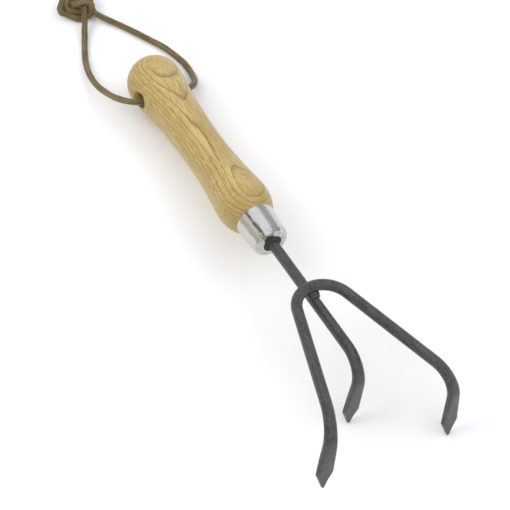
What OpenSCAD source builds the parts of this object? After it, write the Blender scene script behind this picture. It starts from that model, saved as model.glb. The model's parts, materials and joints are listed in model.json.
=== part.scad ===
// Hand cultivator: a turned ash handle, a tapered steel ferrule and three round-bar prongs.
// The centre prong is one bar with its tang. The outer prongs are one bent bar, welded on top of it.
// The tool lies as it rests on a table: on its butt, the centre prong's tip and one outer tip.

/* [Handle] */
// Length of the wooden handle, from its butt to the ferrule
handle_len = 143.9; // [125:0.1:160]
// Radius of the round butt
butt_r = 17.6; // [15:0.1:20]
// Radius of the waist
waist_r = 13.2; // [12:0.1:14]
// Radius of the swell next to the ferrule
swell_r = 16.4; // [15:0.1:18]
// Diameter of the lanyard hole
hole_d = 9; // [7:0.5:10]
// Diameter of the lanyard hole's eased mouths
mouth_d = 12.4; // [10.5:0.1:14]

/* [Ferrule] */
// Length of the ferrule
ferrule_len = 20.7; // [16:0.1:30]
// Outer radius of the ferrule at the wood
ferrule_back_r = 12.1; // [11.6:0.1:13]
// Outer radius of the ferrule at its nose
ferrule_nose_r = 10.6; // [10.2:0.1:11.5]
// Wall of the ferrule
ferrule_wall = 1; // [0.8:0.1:1.4]
// Radius of the ferrule's front hole
ferrule_hole_r = 5.6; // [5:0.1:6.5]

/* [Prongs] */
// Diameter of the round bar
bar_d = 6.5; // [5:0.1:8]
// Length of the tang behind the ferrule's front
tang_len = 88; // [60:1:100]
// Straight length of the centre prong in front of the ferrule
centre_reach = 81; // [70:1:95]
// Radius of the centre prong's downward bend
centre_bend_r = 16.2; // [12:0.1:20]
// Angle of the centre prong's downward bend
centre_bend = 88; // [75:1:95]
// Length of the centre prong below its bend, to its point
centre_drop = 33.4; // [26:0.1:40]
// Where the outer bar crosses the centre bar, in front of the ferrule
cross_x = 41; // [34:1:46]
// Radius of the outer bar's crown over the centre bar
crown_r = 17; // [14:0.1:22]
// Angle between an outer leg and the centre prong
splay = 17.1; // [10:0.1:24]
// Straight length of an outer leg
leg_len = 63; // [50:1:75]
// Radius of an outer prong's downward bend
outer_bend_r = 17.3; // [12:0.1:20]
// Angle of an outer prong's downward bend
outer_bend = 81; // [70:1:90]
// Length of an outer prong below its bend, to its point
outer_drop = 30.7; // [24:0.1:36]

/* [Points] */
// Width of a flattened point at its shoulders
blade_w = 10.9; // [8:0.1:13]
// Thickness of a flattened point at its shoulders
blade_t = 2.4; // [1.8:0.1:4]
// Length of the pointed end, from its shoulders
point_len = 11.4; // [8:0.1:14]
// Turn of each outer point about its own length, so that its flat faces straight ahead
blade_turn = 15; // [0:0.5:20]

/* [Lanyard] */
// Diameter of the round leather lace
lace_d = 4; // [3:0.1:4.4]

/* [Hidden] */

bar_r = bar_d / 2;
tip_r = 1;
joint_x = -ferrule_len;
butt_x = joint_x - handle_len + butt_r;
// The lanyard hole is a little in front of the centre of the round butt.
hole_x = butt_x + 11;
bore_r = 4;
bore_depth = tang_len + 2;
spigot_x = -6;
glue_gap = 0.1;
// Distance of each eased mouth from the handle's axis: a little under the surface, which curves away.
mouth_at = butt_r - 0.7;

// Radius of the ferrule's outside and of the wood inside it, at a place on the axis.
function cone_r(x) = ferrule_back_r + (ferrule_nose_r - ferrule_back_r) * (x - joint_x) / ferrule_len;
function spigot_r(x) = cone_r(x) - ferrule_wall - glue_gap;

// Height of the handle's outline above its axis: [distance behind the ferrule, radius].
shape = [
    [0, ferrule_back_r], [1.5, 13.2], [5, 14.8], [8.5, 15.8], [14, swell_r], [22, 15.8], [35, 14.4],
    [48, 13.5], [63, waist_r], [77, 13.4], [91, 14.1], [105, 15.3], [116, 16.8],
    [handle_len - butt_r, butt_r]
];
last = len(shape) - 1;

// Smooth outline between the stations of the shape: a cubic with the mean slope of each station's neighbours.
function slope(i) = i == last ? 0
    : (shape[i + 1][1] - shape[max(i - 1, 0)][1]) / (shape[i + 1][0] - shape[max(i - 1, 0)][0]);
function between(i, t) =
    let (w = shape[i + 1][0] - shape[i][0])
    shape[i][1] * (1 - 3 * t * t + 2 * t * t * t) + shape[i + 1][1] * (3 * t * t - 2 * t * t * t)
        + w * slope(i) * (t - 2 * t * t + t * t * t) + w * slope(i + 1) * (t * t * t - t * t);
swell_line = [
    for (i = [0 : last - 1], t = [0 : 0.25 : 0.9])
        [between(i, t), joint_x - shape[i][0] - t * (shape[i + 1][0] - shape[i][0])]
];
butt_line = [for (q = [0 : 6 : 90]) [butt_r * cos(q), butt_x - butt_r * sin(q)]];

// Prongs, on the tool's own axes with the handle along X. A ring of a bar is
// [centre, heading, dip, half width, half thickness, turn]: heading turns about Z, dip is down from level,
// and turn is about the bar's own length.
bar_sides = 20;
tip_dips = [0, 30, 50, 65, 80];
function ahead(heading, dip) = [cos(heading) * cos(dip), sin(heading) * cos(dip), -sin(dip)];
function crown_at(side, heading) =
    [cross_x + crown_r * (1 - sin(heading)), side * crown_r * cos(heading), bar_d];
function leg_end(side) = crown_at(side, splay) + leg_len * ahead(side * splay, 0);
function bend_at(start, heading, radius, dip) =
    start + radius * sin(dip) * ahead(heading, 0) - [0, 0, radius * (1 - cos(dip))];

// From round bar at the start of the bend, a prong widens and thins towards the shoulders of its point.
function half_w(part) = bar_r + (blade_w / 2 - bar_r) * pow(part, 1.6);
function half_t(part) = bar_r + (blade_t / 2 - bar_r) * part;
function prong_rings(start, heading, radius, bend, drop, turn) =
    let (curve = radius * bend * PI / 180, run = drop - point_len, whole = curve + run,
         low = bend_at(start, heading, radius, bend), down = ahead(heading, bend), tip = drop - tip_r)
    [
        for (q = [0 : 1 / 9 : 0.999])
            let (part = q * curve / whole, centre = bend_at(start, heading, radius, q * bend))
            [centre, heading, q * bend, half_w(part), half_t(part), turn * part],
        for (q = [0 : 0.2 : 1])
            let (part = (curve + q * run) / whole)
            [low + q * run * down, heading, bend, half_w(part), half_t(part), turn * part],
        for (q = tip_dips)
            [low + (tip + tip_r * sin(q)) * down, heading, bend, tip_r * cos(q), tip_r * cos(q), turn]
    ];
centre_start = [centre_reach, 0, 0];
centre_rings = prong_rings(centre_start, 0, centre_bend_r, centre_bend, centre_drop, 0);
function outer_rings(side) = concat(
    [for (q = [90 : -8 : splay + 4]) [crown_at(side, q), side * q, 0, bar_r, bar_r, 0]],
    [[crown_at(side, splay), side * splay, 0, bar_r, bar_r, 0]],
    prong_rings(leg_end(side), side * splay, outer_bend_r, outer_bend, outer_drop, -side * blade_turn)
);
function tip_of(rings) = rings[len(rings) - len(tip_dips)][0];
centre_tip = tip_of(centre_rings);
right_tip = tip_of(outer_rings(1));

// The resting plane touches the butt, the centre tip and the right tip, which are all round.
function unit(v) = v / norm(v);
tip_line = unit(right_tip - centre_tip);
to_butt = [butt_x, 0, 0] - centre_tip;
across = to_butt - (to_butt * tip_line) * tip_line;
lean = acos((butt_r - tip_r) / norm(across));
up = unit(across) * cos(lean) + cross(tip_line, unit(across)) * sin(lean);
roll = atan2(up[1], up[2]);
pitch = -atan2(up[0], norm([up[1], up[2]]));
function turned(p) =
    let (y = p[1] * cos(roll) - p[2] * sin(roll), z = p[1] * sin(roll) + p[2] * cos(roll))
    [p[0] * cos(pitch) + z * sin(pitch), y, z * cos(pitch) - p[0] * sin(pitch)];

// The furthest reach of the bars along one world axis, taken over their rings' corners.
function ring_corners(ring) =
    let (along = ahead(ring[1], ring[2]), level = [-sin(ring[1]), cos(ring[1]), 0],
         sideways = level * cos(ring[5]) - cross(along, level) * sin(ring[5]),
         through = cross(along, sideways))
    [for (k = [0 : bar_sides - 1])
        let (q = 360 * (k + 0.5) / bar_sides)
        ring[0] + ring[3] * cos(q) * sideways + ring[4] * sin(q) * through];
function reach(rings, axis) = [for (ring = rings, p = ring_corners(ring)) turned(p)[axis]];
x_low = turned([butt_x, 0, 0])[0] - butt_r;
x_high = max(reach(outer_rings(1), 0));
y_low = min(reach(outer_rings(-1), 1));
y_high = max(reach(outer_rings(1), 1));
place = [-(x_low + x_high) / 2, -(y_low + y_high) / 2, tip_r - turned(centre_tip)[2]];

// The lace, as it lies on the table, from the knot round through the handle and back to the knot.
lace_r = lace_d / 2;
lace_sides = 8;
loop_route = [
    [-217, -3.4, 8.2], [-211.6, -6, 7.2], [-206, -9.6, 4.6], [-200, -13.2, 2.8], [-193, -17, 2],
    [-185, -20.4, 2.6], [-176, -22.8, 4.4], [-167, -23.8, 6.8], [-158, -23.6, 9.8], [-149, -22.2, 13.6],
    [-141, -20.2, 17], [-134, -17.4, 20], [-128.4, -13.8, 21.9], [-124.2, -9.4, 22.7], [-122, -4.6, 22],
    [-121.4, 3, 19.6], [-121.2, 11, 16.8], [-121.6, 17.8, 14.2], [-122.6, 22.8, 12], [-124.6, 27, 9.2],
    [-128, 29.9, 6.2], [-132.6, 31.4, 3.6], [-138.6, 32.2, 2.2], [-147, 32, 2], [-157, 29.8, 2],
    [-166, 27, 2], [-176, 22.4, 2], [-187, 17.2, 2], [-198, 11.6, 2], [-206, 6.8, 2.8], [-213, 2.6, 4.6]
];
tail_long_route = [
    [-235, -3, 5], [-241, -4.4, 2.8], [-249, -6, 2], [-257, -8.4, 2], [-265, -12, 2], [-272, -17, 2]
];
tail_short_route = [
    [-234, 1.6, 5], [-240, 3.6, 2.8], [-248, 5, 2], [-256, 5, 2], [-263, 3.4, 2]
];
knot_at = [-226, -4.6, 6.5];
knot_size = [26, 20, 13];
knot_heading = 59;

// Rings of the lace, across the mean direction of the neighbouring points of its route.
function lace_ring(route, i) =
    let (along = unit(route[min(i + 1, len(route) - 1)] - route[max(i - 1, 0)]),
         sideways = unit(cross([0, 0, 1], along)), through = cross(along, sideways))
    [for (k = [0 : lace_sides - 1])
        let (q = 360 * (k + 0.5) / lace_sides)
        route[i] + lace_r * (cos(q) * sideways + sin(q) * through)];

// Skins a list of rings, which all have the same number of points, into a closed solid.
module skin(rings) {
    n = len(rings[0]);
    last_ring = len(rings) - 1;
    points = [for (ring = rings) each ring];
    sides = [
        for (i = [0 : last_ring - 1], k = [0 : n - 1])
            let (a = i * n + k, b = i * n + (k + 1) % n)
            each [[a, b + n, b], [a, a + n, b + n]]
    ];
    first_cap = [for (k = [0 : n - 1]) k];
    last_cap = [for (k = [0 : n - 1]) last_ring * n + n - 1 - k];
    polyhedron(points, concat(sides, [first_cap, last_cap]));
}
module lace_tube(route) {
    skin([for (i = [0 : len(route) - 1]) lace_ring(route, i)]);
}

// Puts a piece that is built on the tool's own axes where the resting tool has it.
module at_rest() {
    translate(place) rotate([0, pitch, 0]) rotate([roll, 0, 0]) children();
}
// Turns a piece built upright, so that its axis runs along the handle.
module along_handle() {
    rotate([0, 90, 0]) children();
}

module handle() {
    color("burlywood") at_rest() difference() {
        union() {
            along_handle() rotate_extrude($fn = 96)
                polygon(concat([[0, joint_x]], swell_line, butt_line));
            along_handle() translate([0, 0, joint_x])
                cylinder(r1 = spigot_r(joint_x), r2 = spigot_r(spigot_x), h = spigot_x - joint_x, $fn = 64);
        }
        along_handle() translate([0, 0, -bore_depth]) cylinder(r = bore_r, h = bore_depth, $fn = 48);
        translate([hole_x, 0, 0]) rotate([90, 0, 0])
            cylinder(d = hole_d, h = 3 * butt_r, center = true, $fn = 48);
        for (side = [-1, 1]) translate([hole_x, side * mouth_at, 0]) rotate([-90 * side, 0, 0])
            mouth_cutter();
    }
}
// A cone that eases one mouth of the lanyard hole, as wide as the mouth at its own origin.
module mouth_cutter() {
    ease = (mouth_d - hole_d) / 2;
    over = 2;
    translate([0, 0, -ease]) cylinder(r1 = hole_d / 2, r2 = mouth_d / 2 + over, h = ease + over, $fn = 48);
}

module ferrule() {
    nose = 3.2;
    r_at_nose = cone_r(-nose);
    outside = concat([[ferrule_back_r, joint_x]],
        [for (q = [0 : 15 : 90]) [r_at_nose - nose * (1 - cos(q)), -nose + nose * sin(q)]]);
    inside = [
        for (q = [90 : -15 : 0])
            [r_at_nose - nose + (nose - ferrule_wall) * cos(q), -nose + (nose - ferrule_wall) * sin(q)]
    ];
    color("silver") at_rest() along_handle() rotate_extrude($fn = 96)
        polygon(concat(outside, [[ferrule_hole_r, 0], [ferrule_hole_r, -ferrule_wall]], inside,
            [[ferrule_back_r - ferrule_wall, joint_x]]));
}

// The resin that fills the hollow nose and the handle's bore, round the tang.
module tang_bedding() {
    in_nose_r = 7.2;
    proud = 0.8;
    color("dimgray") at_rest() along_handle() difference() {
        union() {
            translate([0, 0, -bore_depth]) cylinder(r = bore_r, h = bore_depth + spigot_x, $fn = 48);
            translate([0, 0, spigot_x]) cylinder(r = in_nose_r, h = -ferrule_wall - spigot_x, $fn = 48);
            translate([0, 0, -ferrule_wall - glue_gap])
                cylinder(r1 = ferrule_hole_r - 0.2, r2 = bar_r + 1, h = glue_gap + proud, $fn = 48);
        }
        translate([0, 0, -tang_len]) cylinder(r = bar_r, h = tang_len + bar_d, $fn = 48);
    }
}

module centre_prong() {
    tang_end = [[-tang_len, 0, 0], 0, 0, bar_r, bar_r, 0];
    color("dimgray") at_rest() skin([for (ring = concat([tang_end], centre_rings)) ring_corners(ring)]);
}

module outer_prongs() {
    // From the left tip over the crown to the right tip. Left rings run the other way about, so their
    // corners are listed from the far side.
    left = outer_rings(-1);
    right = outer_rings(1);
    turned_about = [
        for (i = [len(left) - 1 : -1 : 1])
            let (corners = ring_corners(left[i]))
            [for (k = [0 : bar_sides - 1]) corners[(bar_sides / 2 - 1 - k + bar_sides) % bar_sides]]
    ];
    color("dimgray") at_rest() skin(concat(turned_about, [for (ring = right) ring_corners(ring)]));
}

// A weld bead in the corner between the crossed bars, from a wide foot on the centre bar, near x = foot,
// up to the outer bar, near x = top. It is cut to the round sides of both.
module weld(foot, top, width) {
    bead_r = 1.6;
    foot_z = bar_r - 0.6;
    difference() {
        hull() for (side = [-0.5, 0.5]) {
            translate([foot, side * width, foot_z]) sphere(r = bead_r, $fn = 16);
            translate([top, side * width, foot_z + bead_r]) sphere(r = bead_r, $fn = 16);
        }
        along_handle() cylinder(r = bar_r, h = centre_reach, $fn = 48);
        translate([cross_x + crown_r, 0, bar_d]) rotate([0, 0, 90])
            rotate_extrude(angle = 180, $fn = 96) translate([crown_r, 0]) circle(r = bar_r, $fn = 48);
    }
}
module weld_front() {
    color("dimgray") at_rest() weld(cross_x + bar_d - 0.6, cross_x + bar_r - 1, 6);
}
module weld_rear() {
    color("dimgray") at_rest() weld(cross_x - bar_r - 1.2, cross_x - bar_r + 1, 4);
}

module lace_loop() {
    color("peru") lace_tube(loop_route);
}
module lace_knot() {
    color("peru") translate(knot_at) rotate([0, 0, knot_heading])
        scale(knot_size / 2) sphere(r = 1, $fn = 32);
}
module lace_tail_long() {
    color("peru") lace_tube(tail_long_route);
}
module lace_tail_short() {
    color("peru") lace_tube(tail_short_route);
}

handle();
ferrule();
tang_bedding();
centre_prong();
outer_prongs();
weld_front();
weld_rear();
lace_loop();
lace_knot();
lace_tail_long();
lace_tail_short();
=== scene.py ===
"""A hand cultivator on a table: turned ash handle, bright ferrule, dark coated prongs, leather lace."""

import json
import math

import bmesh
import bpy
import numpy as np
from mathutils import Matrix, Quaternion, Vector


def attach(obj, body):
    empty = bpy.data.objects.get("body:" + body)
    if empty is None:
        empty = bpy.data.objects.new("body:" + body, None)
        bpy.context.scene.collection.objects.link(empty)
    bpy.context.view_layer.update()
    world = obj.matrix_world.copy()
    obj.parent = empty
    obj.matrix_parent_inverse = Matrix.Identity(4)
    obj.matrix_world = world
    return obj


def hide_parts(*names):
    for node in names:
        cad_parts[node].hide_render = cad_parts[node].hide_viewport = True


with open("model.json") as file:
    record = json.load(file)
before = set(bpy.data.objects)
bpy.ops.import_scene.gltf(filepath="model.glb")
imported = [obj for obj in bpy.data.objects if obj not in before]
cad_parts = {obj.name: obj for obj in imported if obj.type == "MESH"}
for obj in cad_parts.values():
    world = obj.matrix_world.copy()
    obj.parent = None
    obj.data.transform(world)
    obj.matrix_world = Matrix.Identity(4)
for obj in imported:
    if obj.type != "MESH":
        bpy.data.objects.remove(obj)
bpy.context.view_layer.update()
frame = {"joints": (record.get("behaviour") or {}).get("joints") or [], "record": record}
MM = 0.001

# ---------------------------------------------------------------- the tool's own axes
# The record's joint runs across the tool and its grip mount runs along it, so together they give the
# tool's axes. On them the ferrule's front is the origin, X runs to the prongs and sizes are in mm.
HOLE_X = -136.0
joint = frame["joints"][0]
grip = next(m for m in frame["record"]["mounts"] if m["name"] == "grip")
along = Vector(grip["axis"]).normalized()
across = Vector(joint["axis"]).normalized()
above = along.cross(across).normalized()
origin = Vector(joint["pos_m"]) - HOLE_X * MM * along
TOOL = np.array([along, across, above]).T
ORIGIN = np.array(origin)


def to_world(points):
    """Points on the tool's axes, in mm, as points in the row frame, in metres."""
    return np.asarray(points, float) @ TOOL.T * MM + ORIGIN


# ---------------------------------------------------------------- camera
CAMERA_AT = Vector((374.1, -125.6, 776.1)) * MM
CAMERA_AIM = Vector((-4.4, 0.0, 0.0)) * MM
CAMERA_ROLL = math.radians(-13.93)
camera = bpy.data.objects.new("camera", bpy.data.cameras.new("camera"))
bpy.context.scene.collection.objects.link(camera)
camera.location = CAMERA_AT
camera.rotation_mode = "QUATERNION"
looking = (CAMERA_AIM - CAMERA_AT).to_track_quat("-Z", "Y")
camera.rotation_quaternion = looking @ Quaternion((0, 0, 1), CAMERA_ROLL)
camera.data.lens = 103.15
camera.data.sensor_width = 36
camera.data.clip_start = 0.01
camera.data.clip_end = 20
bpy.context.scene.camera = camera


# ---------------------------------------------------------------- shader nodes
class Shader:
    """The nodes of one material, with short calls for the kinds used here."""

    def __init__(self, name, **surface):
        self.material = bpy.data.materials.new(name)
        self.material.use_nodes = True
        self.tree = self.material.node_tree
        self.surface = self.tree.nodes["Principled BSDF"]
        for socket, value in surface.items():
            self.surface.inputs[socket.replace("_", " ")].default_value = value

    def add(self, kind, inputs=None, **settings):
        node = self.tree.nodes.new("ShaderNode" + kind)
        for key, value in settings.items():
            setattr(node, key, value)
        for key, value in (inputs or {}).items():
            if isinstance(value, bpy.types.NodeSocket):
                self.tree.links.new(value, node.inputs[key])
            else:
                node.inputs[key].default_value = value
        return node

    def place(self):
        """The piece's own coordinates, which are kept on its mesh."""
        return self.add("Attribute", attribute_name="place").outputs["Vector"]

    def maths(self, operation, a, b=None):
        inputs = {0: a} if b is None else {0: a, 1: b}
        return self.add("Math", inputs, operation=operation).outputs[0]

    def noise(self, vector, scale, detail=3.0, rough=0.5, warp=0.0):
        found = {"Vector": vector, "Scale": scale, "Detail": detail, "Roughness": rough, "Distortion": warp}
        return self.add("TexNoise", found).outputs["Fac"]

    def stretched(self, vector, scale):
        return self.add("Mapping", {"Vector": vector, "Scale": scale}).outputs[0]

    def ramp(self, factor, stops, smooth=False):
        node = self.add("ValToRGB", {"Fac": factor})
        node.color_ramp.interpolation = "EASE" if smooth else "LINEAR"
        while len(node.color_ramp.elements) < len(stops):
            node.color_ramp.elements.new(0.5)
        for element, (where, colour) in zip(node.color_ramp.elements, stops):
            element.position = where
            element.color = (*colour, 1) if isinstance(colour, tuple) else (colour, colour, colour, 1)
        return node.outputs[0]

    def mix(self, factor, a, b, blend="MIX"):
        node = self.add("Mix", data_type="RGBA", blend_type=blend)
        for socket, value in ((node.inputs[0], factor), (node.inputs[6], a), (node.inputs[7], b)):
            if isinstance(value, bpy.types.NodeSocket):
                self.tree.links.new(value, socket)
            else:
                socket.default_value = (*value, 1) if isinstance(value, tuple) else value
        return node.outputs[2]

    def to_surface(self, **sockets):
        for key, value in sockets.items():
            self.tree.links.new(value, self.surface.inputs[key.replace("_", " ")])

    def bump(self, height, distance, strength=1.0):
        node = self.add("Bump", {"Height": height, "Distance": distance, "Strength": strength})
        self.to_surface(Normal=node.outputs[0])


# ---------------------------------------------------------------- mesh building
# A ring is never smaller than this, so that no two of its points fall together.
LEAST_R = 0.01


def make_piece(name, points, faces, shader, body, stands_for=(), place=None, sharp_deg=35):
    """A mesh piece on its body. Its place is its points' own coordinates, in mm, for the shaders."""
    mesh = bpy.data.meshes.new(name)
    mesh.from_pydata([tuple(p) for p in points], [], [tuple(f) for f in faces])
    mesh.validate()
    mesh.materials.append(shader.material)
    piece = bpy.data.objects.new(name, mesh)
    bpy.context.scene.collection.objects.link(piece)
    bm = bmesh.new()
    bm.from_mesh(mesh)
    bmesh.ops.recalc_face_normals(bm, faces=bm.faces)
    bm.to_mesh(mesh)
    bm.free()
    mesh.shade_smooth()
    mesh.set_sharp_from_angle(angle=math.radians(sharp_deg))
    if place is not None:
        keep_place(mesh, place)
    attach(piece, body)
    if stands_for:
        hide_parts(*stands_for)
    return piece


def keep_place(mesh, place):
    """Stores each point's own coordinates, which Shader.place() reads."""
    attribute = mesh.attributes.new("place", "FLOAT_VECTOR", "POINT")
    attribute.data.foreach_set("vector", np.asarray(place, np.float32).ravel())


def skin(rings, looped=False):
    """The faces between rings of equally many points, and over both ends or, if looped, back round."""
    count, sides = len(rings), len(rings[0])
    pairs = [(i, (i + 1) % count) for i in range(count if looped else count - 1)]
    faces = [
        (i * sides + k, i * sides + (k + 1) % sides, j * sides + (k + 1) % sides, j * sides + k)
        for i, j in pairs
        for k in range(sides)
    ]
    if not looped:
        faces.append(tuple(range(sides - 1, -1, -1)))
        faces.append(tuple((count - 1) * sides + k for k in range(sides)))
    return np.vstack(rings), faces


def round_about(sides):
    """Angles of equally many steps round a section."""
    return np.linspace(0, 2 * np.pi, sides, endpoint=False)


def lathe(outline, sides, looped=False):
    """Turns an outline of (place on the axis, radius) about the tool's X axis."""
    rings = []
    turn = round_about(sides)
    for x, radius in outline:
        radius = max(radius, LEAST_R)
        rings.append(np.stack([np.full(sides, x), radius * np.cos(turn), radius * np.sin(turn)], 1))
    return skin(rings, looped)


def smooth_line(points, step):
    """A smooth curve through the points, as points about step apart (Catmull-Rom on the chord lengths)."""
    points = np.asarray(points, float)
    gaps = np.linalg.norm(np.diff(points, axis=0), axis=1)
    at = np.concatenate([[0], np.cumsum(gaps)])
    slopes = np.zeros_like(points)
    slopes[1:-1] = (points[2:] - points[:-2]) / (at[2:] - at[:-2])[:, None]
    slopes[0] = (points[1] - points[0]) / gaps[0]
    slopes[-1] = (points[-1] - points[-2]) / gaps[-1]
    want = np.linspace(0, at[-1], max(2, int(round(at[-1] / step)) + 1))
    i = np.clip(np.searchsorted(at, want, side="right") - 1, 0, len(gaps) - 1)
    t = ((want - at[i]) / gaps[i])[:, None]
    width = gaps[i][:, None]
    a, b, da, db = points[i], points[i + 1], slopes[i] * width, slopes[i + 1] * width
    return (
        a * (1 - 3 * t**2 + 2 * t**3) + b * (3 * t**2 - 2 * t**3)
        + da * (t - 2 * t**2 + t**3) + db * (t**3 - t**2)
    )


def tube(line, radius, sides, first_side=(0, 0, 1)):
    """Rings round a line, carried along it without twist, and each point's place (along, round, radius)."""
    line = np.asarray(line, float)
    ways = np.gradient(line, axis=0)
    ways /= np.linalg.norm(ways, axis=1)[:, None]
    turn = round_about(sides)
    side = np.cross(first_side, ways[0])
    rings, places, run = [], [], 0.0
    for i, (centre, way) in enumerate(zip(line, ways)):
        side = side - way * (side @ way)
        side /= np.linalg.norm(side)
        other = np.cross(way, side)
        r = radius[i] if np.ndim(radius) else radius
        rings.append(centre + r * (np.cos(turn)[:, None] * side + np.sin(turn)[:, None] * other))
        run += np.linalg.norm(line[i] - line[i - 1]) if i else 0.0
        places.append(np.stack([np.full(sides, run), r * np.cos(turn), r * np.sin(turn)], 1))
    points, faces = skin(rings)
    return points, faces, np.vstack(places)


# ---------------------------------------------------------------- materials
# The way from the pith to the tool's axis, in mm, the pith's tilt and the growth rings in a mm.
FROM_PITH, PITH_TILT, RINGS_PER_MM = (0, 12, 58.2), (0, 0.008, 0), 0.47


def ash_wood():
    s = Shader("ash", Roughness=0.4, Coat_Weight=0.2, Coat_Roughness=0.2)
    place = s.place()
    # Growth rings are shells about a pith that runs well below the handle and almost level with it, so
    # that they show as lines along its sides and as nested ovals on its two swells.
    shells = s.add("Mapping", {"Vector": place, "Location": FROM_PITH, "Rotation": PITH_TILT})
    parts = s.add("SeparateXYZ", {0: shells.outputs[0]})
    square = [s.maths("POWER", parts.outputs[i], 2.0) for i in (1, 2)]
    wander = s.noise(s.stretched(place, (0.012, 0.05, 0.05)), 1.0, 2.0)
    depth = s.maths("ADD", s.maths("SQRT", s.maths("ADD", *square)), s.maths("MULTIPLY", wander, 5.0))
    ring = s.maths("FRACT", s.maths("MULTIPLY", depth, RINGS_PER_MM))
    early = s.ramp(ring, [(0.0, 0.0), (0.04, 1.0), (0.11, 0.75), (0.28, 0.14), (1.0, 0.0)])
    # Pores show as short dark dashes in the early wood, on fine fibres, pale flecks and broad patches.
    pores = s.noise(s.stretched(place, (0.1, 3.6, 3.6)), 1.0, 4.0, 0.7)
    dashes = s.ramp(pores, [(0.42, 0.0), (0.62, 1.0)])
    fibre = s.noise(s.stretched(place, (0.035, 1.7, 1.7)), 1.0, 5.0, 0.65)
    patch = s.noise(s.stretched(place, (0.02, 0.07, 0.07)), 1.0, 2.0)
    tone = s.mix(s.ramp(patch, [(0.3, 0.0), (0.7, 1.0)]), (0.47, 0.34, 0.106), (0.6, 0.445, 0.162))
    tone = s.mix(s.ramp(fibre, [(0.44, 0.0), (0.62, 0.8)]), tone, (0.32, 0.2, 0.058))
    flecks = s.noise(s.stretched(place, (0.16, 2.4, 2.4)), 1.0, 3.0, 0.6)
    tone = s.mix(s.ramp(flecks, [(0.54, 0.0), (0.68, 0.7)]), tone, (0.74, 0.60, 0.30))
    # Painted shade: the wood is painted a little darker towards the ferrule.
    x = s.add("SeparateXYZ", {0: place}).outputs[0]
    shade_near_ferrule = s.ramp(s.maths("MULTIPLY", x, -0.01), [(0.2, 0.5), (0.42, 0.0)], smooth=True)
    tone = s.mix(shade_near_ferrule, tone, (0.37, 0.245, 0.075))
    vein = s.mix(dashes, (0.21, 0.12, 0.034), (0.11, 0.055, 0.014))
    strength = s.maths("MULTIPLY", early, s.maths("ADD", s.maths("MULTIPLY", dashes, 0.45), 0.5))
    s.to_surface(Base_Color=s.mix(strength, tone, vein))
    s.to_surface(Roughness=s.ramp(fibre, [(0.3, 0.32), (0.8, 0.5)]))
    s.bump(s.maths("SUBTRACT", 1.0, s.maths("MULTIPLY", dashes, early)), 0.00015, 0.5)
    return s


def bright_steel():
    s = Shader("bright_steel", Metallic=1.0, Roughness=0.14)
    place = s.place()
    drawn = s.noise(s.stretched(place, (0.1, 1.6, 1.6)), 1.0, 4.0)
    dents = s.noise(s.stretched(place, (0.1, 0.2, 0.2)), 1.0, 2.0)
    specks = s.ramp(s.noise(place, 1.9, 4.0, 0.7), [(0.62, 0.0), (0.74, 0.6)])
    tone = s.mix(drawn, (0.53, 0.52, 0.49), (0.62, 0.612, 0.59))
    # The rounded nose is marked and crumpled where it was pressed in.
    x = s.add("SeparateXYZ", {0: place}).outputs[0]
    at_nose = s.ramp(s.maths("MULTIPLY", x, -0.1), [(0.1, 1.0), (0.5, 0.0)], smooth=True)
    marks = s.ramp(s.noise(place, 0.55, 4.0, 0.7), [(0.48, 0.0), (0.66, 0.9)])
    tone = s.mix(s.maths("MULTIPLY", marks, at_nose), tone, (0.24, 0.235, 0.21))
    s.to_surface(Base_Color=s.mix(specks, tone, (0.36, 0.355, 0.33)))
    s.to_surface(Roughness=s.ramp(drawn, [(0.3, 0.12), (0.75, 0.26)]))
    crumpled = s.maths("MULTIPLY", s.noise(place, 0.3, 2.0), at_nose)
    height = s.maths("ADD", s.maths("ADD", dents, s.maths("MULTIPLY", drawn, 0.04)), crumpled)
    s.bump(height, 0.0011, 0.32)
    return s


def coated_steel():
    s = Shader("coated_steel", Roughness=0.4, Specular_IOR_Level=0.6)
    place = s.place()
    # Long streaks along the bars, lighter and darker at random: partly the coat's mottling, partly painted
    # highlights.
    mottle_and_sheen = s.noise(s.stretched(place, (0.07, 0.3, 0.3)), 1.0, 4.0, 0.65)
    grain = s.noise(place, 1.5, 4.0, 0.7)
    specks = s.ramp(s.noise(place, 3.4, 2.0, 0.6), [(0.58, 0.0), (0.72, 0.7)])
    tone = s.mix(s.ramp(mottle_and_sheen, [(0.38, 0.0), (0.62, 1.0)]), (0.006, 0.0075, 0.007), (0.042, 0.044, 0.0432))
    tone = s.mix(s.ramp(grain, [(0.42, 0.0), (0.66, 0.8)]), tone, (0.085, 0.087, 0.085))
    s.to_surface(Base_Color=s.mix(specks, tone, (0.15, 0.152, 0.15)))
    s.to_surface(Roughness=s.ramp(grain, [(0.3, 0.26), (0.7, 0.42)]))
    s.bump(s.maths("ADD", grain, specks), 0.00012, 0.5)
    return s


def dark_resin():
    s = Shader("dark_resin", Roughness=0.75)
    place = s.place()
    lumps = s.noise(place, 0.9, 4.0, 0.65)
    s.to_surface(Base_Color=s.mix(lumps, (0.012, 0.012, 0.011), (0.07, 0.068, 0.06)))
    s.bump(lumps, 0.0006, 0.8)
    return s


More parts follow.
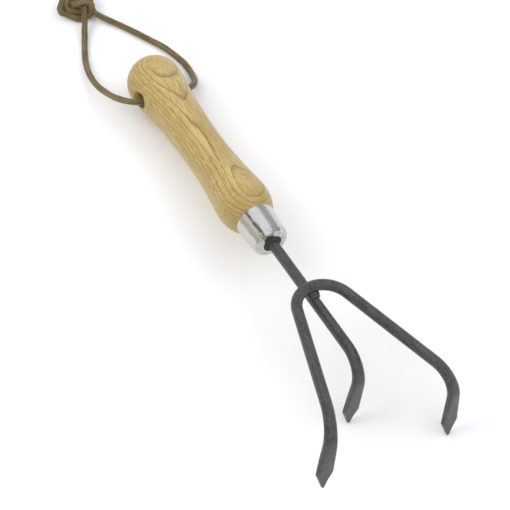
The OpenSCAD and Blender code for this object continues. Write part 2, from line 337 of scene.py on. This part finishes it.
def leather():
    s = Shader("leather", Roughness=0.5, Specular_IOR_Level=0.45)
    place = s.place()
    streaks = s.noise(s.stretched(place, (0.07, 0.9, 0.9)), 1.0, 4.0, 0.6)
    fine = s.noise(s.stretched(place, (0.3, 4.2, 4.2)), 1.0, 3.0, 0.6)
    worn = s.noise(s.stretched(place, (0.045, 0.2, 0.2)), 1.0, 2.0)
    base = s.mix(s.ramp(worn, [(0.4, 0.0), (0.62, 1.0)]), (0.135, 0.103, 0.038), (0.21, 0.135, 0.06))
    base = s.mix(s.ramp(streaks, [(0.42, 0.0), (0.64, 0.85)]), base, (0.045, 0.032, 0.013))
    # The pale fine marks along the lace are painted highlights; the same fine noise also sets the leather's
    # roughness and bump.
    s.to_surface(Base_Color=s.mix(s.ramp(fine, [(0.5, 0.0), (0.68, 0.6)]), base, (0.33, 0.265, 0.14)))
    s.to_surface(Roughness=s.ramp(fine, [(0.3, 0.36), (0.7, 0.6)]))
    s.bump(s.maths("ADD", streaks, s.maths("MULTIPLY", fine, 0.6)), 0.00035, 0.7)
    return s


ASH, BRIGHT, COATED, RESIN, LEATHER = ash_wood(), bright_steel(), coated_steel(), dark_resin(), leather()

# ---------------------------------------------------------------- the lace
LACE_R = 2.0
LACE_SIDES, LACE_STEP = 24, 0.7
# How much the lace is pressed wider where it is drawn tight in the knot, and over how many steps.
KNOT_MORE, KNOT_EASE = 0.35, 6.0
LOOP_ROUTE = [
    (-217, -3.4, 8.2), (-211.6, -6, 7.2), (-206, -9.6, 4.6), (-200, -13.2, 2.8), (-193, -17, 2),
    (-185, -20.4, 2.6), (-176, -22.8, 4.4), (-167, -23.8, 6.8), (-158, -23.6, 9.8), (-149, -22.2, 13.6),
    (-141, -20.2, 17), (-134, -17.4, 20), (-128.4, -13.8, 21.9), (-124.2, -9.4, 22.7), (-122, -4.6, 22),
    (-121.4, 3, 19.6), (-121.2, 11, 16.8), (-121.6, 17.8, 14.2), (-122.6, 22.8, 12), (-124.6, 27, 9.2),
    (-128, 29.9, 6.2), (-132.6, 31.4, 3.6), (-138.6, 32.2, 2.2), (-147, 32, 2), (-157, 29.8, 2),
    (-166, 27, 2), (-176, 22.4, 2), (-187, 17.2, 2), (-198, 11.6, 2), (-206, 6.8, 2.8), (-213, 2.6, 4.6),
]
# The route's point in the middle of the bore, where the two strands part.
IN_BORE = 15
TAIL_LONG = [
    (-235, -3, 5), (-241, -4.4, 2.8), (-249, -6, 2), (-257, -8.4, 2), (-265, -12, 2), (-272, -17, 2),
]
TAIL_SHORT = [(-234, 1.6, 5), (-240, 3.6, 2.8), (-248, 5, 2), (-256, 5, 2), (-263, 3.4, 2)]
# Both ends go through the knot side by side: round its far lobe, back along the near side and over
# themselves.
KNOT_LEFT = [
    (-219.4, -1.9, 8.4), (-224.8, -1.1, 6.8), (-229.6, -0.4, 6.8), (-233.3, -1, 8.6), (-234.3, -4.7, 10),
    (-232.4, -9.5, 10.2), (-229.7, -13.2, 9.4), (-227.4, -15.8, 8), (-225.6, -15.9, 6.2),
    (-224.8, -13.8, 4.2), (-223.1, -11.8, 2.8), (-219.3, -9.2, 2.2), (-216.8, -5.7, 2.2),
    (-216.2, -1.8, 3.4), (-216.9, 1.3, 6.2), (-218.1, 2.5, 8.8), (-219.8, 1, 10.8), (-221.6, -2.8, 11.2),
    (-223.8, -6.4, 9.9), (-228.6, -7, 6.6), (-233.9, -4.1, 5.6),
]
KNOT_RIGHT = [
    (-219.6, 2, 2.4), (-224.7, 1.2, 2.2), (-229.7, 0.8, 2.8), (-233.7, 0.4, 3.2), (-234.1, -2.1, 5.8),
    (-231.6, -6.6, 8.2), (-229.2, -10, 8.3), (-227, -11.7, 6.9), (-225, -10.2, 5.6), (-222.7, -7.3, 5),
    (-220.1, -3.9, 4.2), (-218.6, -1.2, 5), (-220, 1.3, 6.2), (-223.6, 4.2, 7.6), (-228, 4, 8.6),
]


def lace_tube(line, start, end, radius):
    """Part of a lace's tube, a little uneven as cut leather is, with its centreline in metres."""
    points, _, place = tube(line, radius, LACE_SIDES)
    rings, places = points.reshape(-1, LACE_SIDES, 3), place.reshape(-1, LACE_SIDES, 3)
    turn = round_about(LACE_SIDES)
    run = places[:, :1, 0]
    swell = 1 + 0.025 * np.sin(run * 0.31 + 2 * turn) + 0.02 * np.sin(run * 0.83 + 3 * turn + 1.0)
    swell += 0.014 * np.sin(run * 2.3 + 5 * turn) - 0.02
    centre = rings.mean(1, keepdims=True)
    rings = centre + (rings - centre) * swell[:, :, None]
    kept = slice(start, end + 1)
    points, faces = skin(list(rings[kept]))
    return points * MM, faces, np.vstack(places[kept]), line[kept] * MM


def strand(loop, through_knot, tail):
    """One end of the lace from the bore to its cut end: its loop, its part of the knot and its tail."""
    line = smooth_line([*loop, *through_knot, *tail], LACE_STEP)
    enters, leaves = (int(np.linalg.norm(line - np.array(p), axis=1).argmin()) for p in (loop[-1], tail[0]))
    at = np.arange(len(line))
    inside = np.clip(np.minimum(at - enters, leaves - at) / KNOT_EASE, 0, 1)
    radius = LACE_R + KNOT_MORE * inside
    parts = ((0, enters), (enters, leaves), (leaves, len(line) - 1))
    return [lace_tube(line, start, end, radius) for start, end in parts]


def lace_piece(name, part, node):
    points, faces, place, line = part
    piece = make_piece(name, points, faces, LEATHER, "lace", [node], place, sharp_deg=50)
    return piece, line


left_loop, left_knot, left_tail = strand(LOOP_ROUTE[IN_BORE::-1], KNOT_LEFT, TAIL_LONG)
right_loop, right_knot, right_tail = strand(LOOP_ROUTE[IN_BORE:], KNOT_RIGHT, TAIL_SHORT)
strand_left, left_line = lace_piece("strand_left", left_loop, "lace_loop")
strand_right, right_line = lace_piece("strand_right", right_loop, "lace_loop")
tail_long, long_line = lace_piece("tail_long", left_tail, "lace_tail_long")
tail_short, short_line = lace_piece("tail_short", right_tail, "lace_tail_short")

# The knot is one piece, with both strands' parts in it.
both_points = np.vstack([left_knot[0], right_knot[0]])
both_faces = left_knot[1] + [tuple(i + len(left_knot[0]) for i in face) for face in right_knot[1]]
both_places = np.vstack([left_knot[2], right_knot[2]])
knot, _ = lace_piece("knot", (both_points, both_faces, both_places, None), "lace_knot")


# ---------------------------------------------------------------- the handle
HANDLE_LEN, FERRULE_LEN = 143.9, 20.7
JOINT_X = -FERRULE_LEN
BUTT_R, SWELL_R, WAIST_R = 17.6, 16.4, 13.2
BUTT_X = JOINT_X - HANDLE_LEN + BUTT_R
BACK_R, NOSE_R, WALL = 12.1, 10.6, 1.0
# Radius of the wood's front cap, just inside the ferrule's wall.
FRONT_R = 11.0
HANDLE_SIDES, BORE_SIDES = 160, 64
# The turned outline: (distance behind the ferrule, radius).
SHAPE = [
    (0, BACK_R), (1.5, 13.2), (5, 14.8), (8.5, 15.8), (14, SWELL_R), (22, 15.8), (35, 14.4), (48, 13.5),
    (63, WAIST_R), (77, 13.4), (91, 14.1), (105, 15.3), (116, 16.8), (HANDLE_LEN - BUTT_R, BUTT_R),
]
# The lanyard hole's eased mouth: (distance from the handle's axis, radius).
FLARE = [(18.5, 8.2), (17.4, 6.7), (16.6, 5.9), (15.8, 5.3), (14.8, 4.85), (13.6, 4.6), (12.2, 4.5)]


def handle_outline():
    """The outline from ferrule to butt, smooth between its stations, as (place on the axis, radius)."""
    back = np.array([s[0] for s in SHAPE], float)
    radius = np.array([s[1] for s in SHAPE], float)
    slope = np.zeros(len(SHAPE))
    slope[0] = (radius[1] - radius[0]) / (back[1] - back[0])
    slope[1:-1] = (radius[2:] - radius[:-2]) / (back[2:] - back[:-2])
    middle = []
    for i in range(len(SHAPE) - 1):
        width = back[i + 1] - back[i]
        for t in np.linspace(0, 1, 8, endpoint=False):
            r = (
                radius[i] * (1 - 3 * t**2 + 2 * t**3) + radius[i + 1] * (3 * t**2 - 2 * t**3)
                + width * slope[i] * (t - 2 * t**2 + t**3) + width * slope[i + 1] * (t**3 - t**2)
            )
            middle.append((JOINT_X - back[i] - t * width, r))
    butt = [(BUTT_X - BUTT_R * math.sin(q), BUTT_R * math.cos(q)) for q in np.radians(np.arange(0, 90.1, 3))]
    return [(JOINT_X, FRONT_R), *middle, *butt]


def bore_cutter():
    """A cutter for the lanyard hole, whose mouths flare smoothly into the surface."""
    outline = [(-y, r) for y, r in FLARE] + [(y, r) for y, r in FLARE[::-1]]
    points, faces = lathe(outline, BORE_SIDES)
    return np.stack([points[:, 1] + HOLE_X, points[:, 0], points[:, 2]], 1), faces


def handle_piece():
    """The handle's wood, with the lanyard hole cut through it."""
    points, faces = lathe(handle_outline(), HANDLE_SIDES)
    at = to_world(points)
    piece = make_piece("ash_handle", at, faces, ASH, "tool", ["handle"], sharp_deg=60)
    cut_points, cut_faces = bore_cutter()
    cutter = make_piece("cutter", to_world(cut_points), cut_faces, ASH, "tool")
    boolean = piece.modifiers.new("bore", "BOOLEAN")
    boolean.operation = "DIFFERENCE"
    boolean.solver = "EXACT"
    boolean.object = cutter
    mesh = bpy.data.meshes.new_from_object(piece.evaluated_get(bpy.context.evaluated_depsgraph_get()))
    piece.modifiers.remove(boolean)
    piece.data = mesh
    bpy.data.objects.remove(cutter)
    world = np.array([v.co for v in mesh.vertices])
    keep_place(mesh, (world - ORIGIN) @ TOOL / MM)
    mesh.shade_smooth()
    mesh.set_sharp_from_angle(angle=math.radians(50))


handle_piece()

# ---------------------------------------------------------------- the ferrule
HOLE_R, NOSE_ROUND, FERRULE_SIDES = 5.6, 3.2, 128


def cone_r(x):
    """Radius of the ferrule's outside at a place on the axis."""
    return BACK_R + (NOSE_R - BACK_R) * (x - JOINT_X) / FERRULE_LEN


def nose_arc(radius, degrees):
    """An arc of the rounded nose, from its side (0) to its front (90), as (place on the axis, radius)."""
    x, r = -NOSE_ROUND, cone_r(-NOSE_ROUND) - NOSE_ROUND
    return [(x + radius * math.sin(q), r + radius * math.cos(q)) for q in np.radians(degrees)]


def ferrule_piece():
    """The ferrule's shell: its eased back edge, cone, rounded nose, front hole and inside."""
    edge = [(JOINT_X, BACK_R - 0.25), (JOINT_X + 0.12, BACK_R - 0.05), (JOINT_X + 0.4, cone_r(JOINT_X + 0.4))]
    cone = [(x, cone_r(x)) for x in np.linspace(JOINT_X + 2, -NOSE_ROUND - 0.6, 12)]
    nose = nose_arc(NOSE_ROUND, np.arange(0, 91, 7.5))
    lip = [(0, HOLE_R + 0.5), (-0.12, HOLE_R + 0.12), (-0.45, HOLE_R), (-WALL, HOLE_R)]
    inside = [*nose_arc(NOSE_ROUND - WALL, np.arange(90, -1, -15)), (JOINT_X, BACK_R - WALL)]
    points, faces = lathe([*edge, *cone, *nose, *lip, *inside], FERRULE_SIDES, looped=True)
    at = to_world(points)
    make_piece("ferrule_shell", at, faces, BRIGHT, "tool", ["ferrule"], points, sharp_deg=40)


ferrule_piece()

# ---------------------------------------------------------------- the prongs
BAR_R = 3.25
CENTRE_REACH, CENTRE_BEND_R, CENTRE_BEND, CENTRE_DROP = 81.0, 16.2, 88.0, 33.4
CROSS_X, CROWN_R, SPLAY, LEG_LEN = 41.0, 17.0, 17.1, 63.0
OUTER_BEND_R, OUTER_BEND, OUTER_DROP = 17.3, 81.0, 30.7
BLADE_W, BLADE_T, BLADE_TURN, POINT_LEN, TIP_R = 10.9, 2.4, 15.0, 11.4, 1.0
# Half the width and thickness at a point's very end, and what the half thickness loses on the way.
TIP_HALF_W, TIP_HALF_T, TIP_THINNER = 0.9, 0.95, 0.25
# The bevels of a blade and of its point, as parts of the half width, and the widest bevel in mm.
BLADE_BEVEL, POINT_BEVEL, BEVEL_W = 0.2, 0.35, 1.1
# How much of the tang is drawn behind the ferrule's front, where the resin hides it.
TANG_SHOWN = 12.0


def ahead(heading, dip):
    """The way a bar runs: its heading is about the tool's Z axis, and its dip is down from level."""
    h, d = math.radians(heading), math.radians(dip)
    return np.array([math.cos(h) * math.cos(d), math.sin(h) * math.cos(d), -math.sin(d)])


def section(half_w, half_t, square, bevel, count=40):
    """A bar's section, from round (square 0) to a flat blade (square 1) with its outer face bevelled."""
    q = 2 * np.pi * (np.arange(count) + 0.5) / count
    power = 2 / (2 + 5 * square)
    wide = np.sign(np.cos(q)) * np.abs(np.cos(q)) ** power
    thick = np.sign(np.sin(q)) * np.abs(np.sin(q)) ** power
    return half_w * wide * (1 - bevel * np.clip(thick, 0, 1)), half_t * thick


def bar_ring(centre, heading, dip, half_w, half_t, square=0.0, bevel=0.0, turn=0.0):
    """One ring of a bar, turned about the bar's own length."""
    way = ahead(heading, dip)
    level = np.array([-math.sin(math.radians(heading)), math.cos(math.radians(heading)), 0])
    sideways = level * math.cos(math.radians(turn)) - np.cross(way, level) * math.sin(math.radians(turn))
    through = np.cross(way, sideways)
    w, t = section(half_w, half_t, square, bevel)
    return centre + w[:, None] * sideways + t[:, None] * through


def bend_at(start, heading, radius, dip):
    d = math.radians(dip)
    return start + radius * math.sin(d) * ahead(heading, 0) - np.array([0, 0, radius * (1 - math.cos(d))])


def shaped_ring(centre, heading, dip, part, turn):
    """A ring of a prong between round bar, at part 0, and the shoulders of its point, at part 1."""
    half_w = BAR_R + (BLADE_W / 2 - BAR_R) * part**1.6
    half_t = BAR_R + (BLADE_T / 2 - BAR_R) * part
    flat = min(1.0, max(0.0, (part - 0.3) / 0.6)) ** 1.5
    return bar_ring(centre, heading, dip, half_w, half_t, flat, BLADE_BEVEL * flat, turn * part)


def prong_rings(start, heading, radius, bend, drop, turn):
    """Rings from the start of the downward bend to the prong's point, which is turned about its length."""
    curve, run = radius * math.radians(bend), drop - POINT_LEN
    whole = curve + run
    low, down = bend_at(start, heading, radius, bend), ahead(heading, bend)
    rings = [
        shaped_ring(bend_at(start, heading, radius, q * bend), heading, q * bend, q * curve / whole, turn)
        for q in np.linspace(0, 1, 28, endpoint=False)
    ]
    rings += [
        shaped_ring(low + q * run * down, heading, bend, (curve + q * run) / whole, turn)
        for q in np.linspace(0, 1, 14)
    ]
    for q in np.linspace(0, 1, 12)[1:]:
        centre = low + (run + q * (POINT_LEN - TIP_R)) * down
        half_w = (BLADE_W / 2 - TIP_HALF_W) * (1 - q) + TIP_HALF_W
        half_t = BLADE_T / 2 - TIP_THINNER * q
        bevel = min(POINT_BEVEL, BEVEL_W / half_w)
        rings.append(bar_ring(centre, heading, bend, half_w, half_t, 1.0, bevel, turn))
    end = low + (drop - TIP_R) * down
    for degrees in (30, 55, 75):
        q = math.radians(degrees)
        centre = end + TIP_HALF_W * math.sin(q) * down
        half_w, half_t = TIP_HALF_W * math.cos(q), TIP_HALF_T * math.cos(q)
        rings.append(bar_ring(centre, heading, bend, half_w, half_t, 1 - degrees / 90, POINT_BEVEL, turn))
    return rings


def coated_piece(name, points, faces, node, sharp_deg):
    at = to_world(points)
    make_piece(name, at, faces, COATED, "tool", [node], points, sharp_deg)


def bar_piece(name, rings, node):
    points, faces = skin(rings)
    coated_piece(name, points, faces, node, 38)


def centre_bar():
    straight = [
        bar_ring(np.array([x, 0, 0]), 0, 0, BAR_R, BAR_R)
        for x in np.linspace(-TANG_SHOWN, CENTRE_REACH, 60, endpoint=False)
    ]
    start = np.array([CENTRE_REACH, 0, 0])
    return straight + prong_rings(start, 0, CENTRE_BEND_R, CENTRE_BEND, CENTRE_DROP, 0)


def crown_at(side, heading):
    """A point of the crown, which runs over the centre bar at heading 90 and out to its own side."""
    q = math.radians(heading)
    return np.array([CROSS_X + CROWN_R * (1 - math.sin(q)), side * CROWN_R * math.cos(q), 2 * BAR_R])


def outer_half(side):
    """Rings of one outer prong, from the crown over the centre bar to its point."""
    rings = [bar_ring(crown_at(side, q), side * q, 0, BAR_R, BAR_R) for q in np.arange(90, SPLAY, -2.5)]
    corner, way = crown_at(side, SPLAY), ahead(side * SPLAY, 0)
    rings += [
        bar_ring(corner + run * way, side * SPLAY, 0, BAR_R, BAR_R)
        for run in np.linspace(0, LEG_LEN, 40, endpoint=False)
    ]
    start = corner + LEG_LEN * way
    return rings + prong_rings(start, side * SPLAY, OUTER_BEND_R, OUTER_BEND, OUTER_DROP, -side * BLADE_TURN)


def outer_bar():
    """Rings from the left tip over the crown to the right tip, with the left ones turned to run on."""
    left, right = outer_half(-1), outer_half(1)
    count = len(left[0])
    return [ring[(count // 2 - 1 - np.arange(count)) % count] for ring in left[:0:-1]] + right


bar_piece("centre_bar", centre_bar(), "centre_prong")
bar_piece("outer_bar", outer_bar(), "outer_prongs")

# How far a weld's beads reach down each side of the centre bar, in degrees from its top.
BEAD_REACH = 62


def weld_bead(node, name, ripples):
    """Beads over the centre bar in the corner under the outer bar, as (distance ahead of it, radius)."""
    points, faces = [], []
    for place_x, bead_r in ripples:
        q = np.radians(np.linspace(-BEAD_REACH, BEAD_REACH, 61))
        path_r = BAR_R + 0.22 * bead_r + 0.1 * np.cos(7 * q + place_x)
        wander = 0.22 * np.sin(5 * q + 2 * place_x)
        line = np.stack([CROSS_X + place_x + wander, path_r * np.sin(q), path_r * np.cos(q)], 1)
        ends = np.sqrt(np.clip(1 - (np.abs(q) / q[-1]) ** 5, 0.03, 1))
        radius = bead_r * ends * (1 + 0.06 * np.sin(19 * q + place_x))
        bead, sides, _ = tube(line, radius, 28, (1, 0, 0))
        faces += [tuple(i + sum(map(len, points)) for i in side) for side in sides]
        points.append(bead)
    points = np.vstack(points)
    coated_piece(name, points, faces, node, 60)


weld_bead("weld_front", "bead_front", [(3.2, 1.8), (4.6, 1.3)])
weld_bead("weld_rear", "bead_rear", [(-3.1, 1.6), (-4.2, 1.1)])

# Rings of the resin in the ferrule's front hole: (place on the axis, radius, roughness).
RESIN_RINGS = [
    (-6, 6.8, 0), (-1.9, 6.8, 0), (-1.3, 5.5, 0), (-0.7, 5.4, 0.1), (-0.35, 5.0, 0.35), (0.05, 4.5, 0.6),
    (0.5, 3.9, 0.7), (0.8, 3.4, 0.5), (0.9, 2.6, 0.1),
]


def filler_piece():
    """Rough resin in the ferrule's front hole, pushed up a little round the bar."""
    rng = np.random.default_rng(8)
    sides, rings = 72, []
    turn = round_about(sides)
    waves = [(rng.uniform(-0.5, 0.5), k, rng.uniform(0, 6.28)) for k in (1, 2, 3, 5, 8, 13)]
    lump = sum(a * np.sin(k * turn + p) / k**0.4 for a, k, p in waves)
    for x, radius, rough in RESIN_RINGS:
        deep = x + rough * lump * 0.7 + rough * rng.uniform(-0.18, 0.18, sides)
        wide = radius + rough * rng.uniform(-0.15, 0.15, sides)
        rings.append(np.stack([deep, wide * np.cos(turn), wide * np.sin(turn)], 1))
    points, faces = skin(rings)
    at = to_world(points)
    make_piece("filler", at, faces, RESIN, "tool", ["tang_bedding"], points, sharp_deg=80)


filler_piece()

# ---------------------------------------------------------------- floor and light
FLOOR_HALF = 3
floor_corners = [(x * FLOOR_HALF, y * FLOOR_HALF, 0) for x, y in ((-1, -1), (1, -1), (1, 1), (-1, 1))]
floor_mesh = bpy.data.meshes.new("floor")
floor_mesh.from_pydata(floor_corners, [], [(0, 1, 2, 3)])
floor = bpy.data.objects.new("floor", floor_mesh)
bpy.context.scene.collection.objects.link(floor)
pale = Shader("floor", Roughness=0.9)
pale.surface.inputs["Base Color"].default_value = (0.93, 0.93, 0.925, 1)
floor_mesh.materials.append(pale.material)


def soft_light(name, at, size, power, colour):
    """A rectangular lamp that faces the tool and shows in no reflection."""
    data = bpy.data.lights.new(name, "AREA")
    data.shape = "RECTANGLE"
    data.size, data.size_y = size
    data.energy = power
    data.color = colour
    lamp = bpy.data.objects.new(name, data)
    bpy.context.scene.collection.objects.link(lamp)
    lamp.location = at
    lamp.rotation_mode = "QUATERNION"
    lamp.rotation_quaternion = (-Vector(at)).to_track_quat("-Z", "Y")
    lamp.visible_glossy = False


soft_light("key", (-0.5, -0.7, 1.3), (0.9, 0.9), 7.2, (1, 0.99, 0.975))
soft_light("fill", (0.3, 0.9, 1.0), (1.0, 0.8), 4.1, (0.98, 0.99, 1))

# A pale room whose light falls off to one side, with a darker gap overhead for the metal to mirror.
# Its colours go by the Y of a direction over its Z, from -ROOM_LEAN (0) to ROOM_LEAN (1).
ROOM_LEAN = 2.0
ROOM = [
    (0.0, (0.70, 0.68, 0.62)), (0.15, (1.0, 0.95, 0.85)), (0.30, (1.0, 0.95, 0.85)),
    (0.345, (0.15, 0.17, 0.15)), (0.405, (0.15, 0.17, 0.15)), (0.44, (1.2, 1.23, 1.32)),
    (0.70, (1.2, 1.23, 1.32)), (0.80, (0.58, 0.59, 0.61)),
]
BACKDROP, ROOM_STRENGTH = (0.95, 0.95, 0.95, 1), 0.95


def studio_room():
    world = bpy.data.worlds.new("world")
    bpy.context.scene.world = world
    world.use_nodes = True
    nodes, links = world.node_tree.nodes, world.node_tree.links
    way = nodes.new("ShaderNodeSeparateXYZ")
    links.new(nodes.new("ShaderNodeTexCoord").outputs["Generated"], way.inputs[0])
    lean = nodes.new("ShaderNodeMath")
    lean.operation = "DIVIDE"
    links.new(way.outputs[1], lean.inputs[0])
    links.new(way.outputs[2], lean.inputs[1])
    spread = nodes.new("ShaderNodeMapRange")
    spread.inputs["From Min"].default_value = -ROOM_LEAN
    spread.inputs["From Max"].default_value = ROOM_LEAN
    links.new(lean.outputs[0], spread.inputs["Value"])
    room = nodes.new("ShaderNodeValToRGB")
    for _ in ROOM[2:]:
        room.color_ramp.elements.new(0.5)
    for element, (at, colour) in zip(room.color_ramp.elements, ROOM):
        element.position = at
        element.color = (*colour, 1)
    links.new(spread.outputs[0], room.inputs[0])
    # Behind the floor's far edge the room is plain.
    backdrop = nodes.new("ShaderNodeMix")
    backdrop.data_type = "RGBA"
    backdrop.inputs[7].default_value = BACKDROP
    links.new(nodes.new("ShaderNodeLightPath").outputs["Is Camera Ray"], backdrop.inputs[0])
    links.new(room.outputs[0], backdrop.inputs[6])
    links.new(backdrop.outputs[2], nodes["Background"].inputs[0])
    nodes["Background"].inputs[1].default_value = ROOM_STRENGTH


studio_room()
bpy.context.scene.view_settings.view_transform = "Standard"
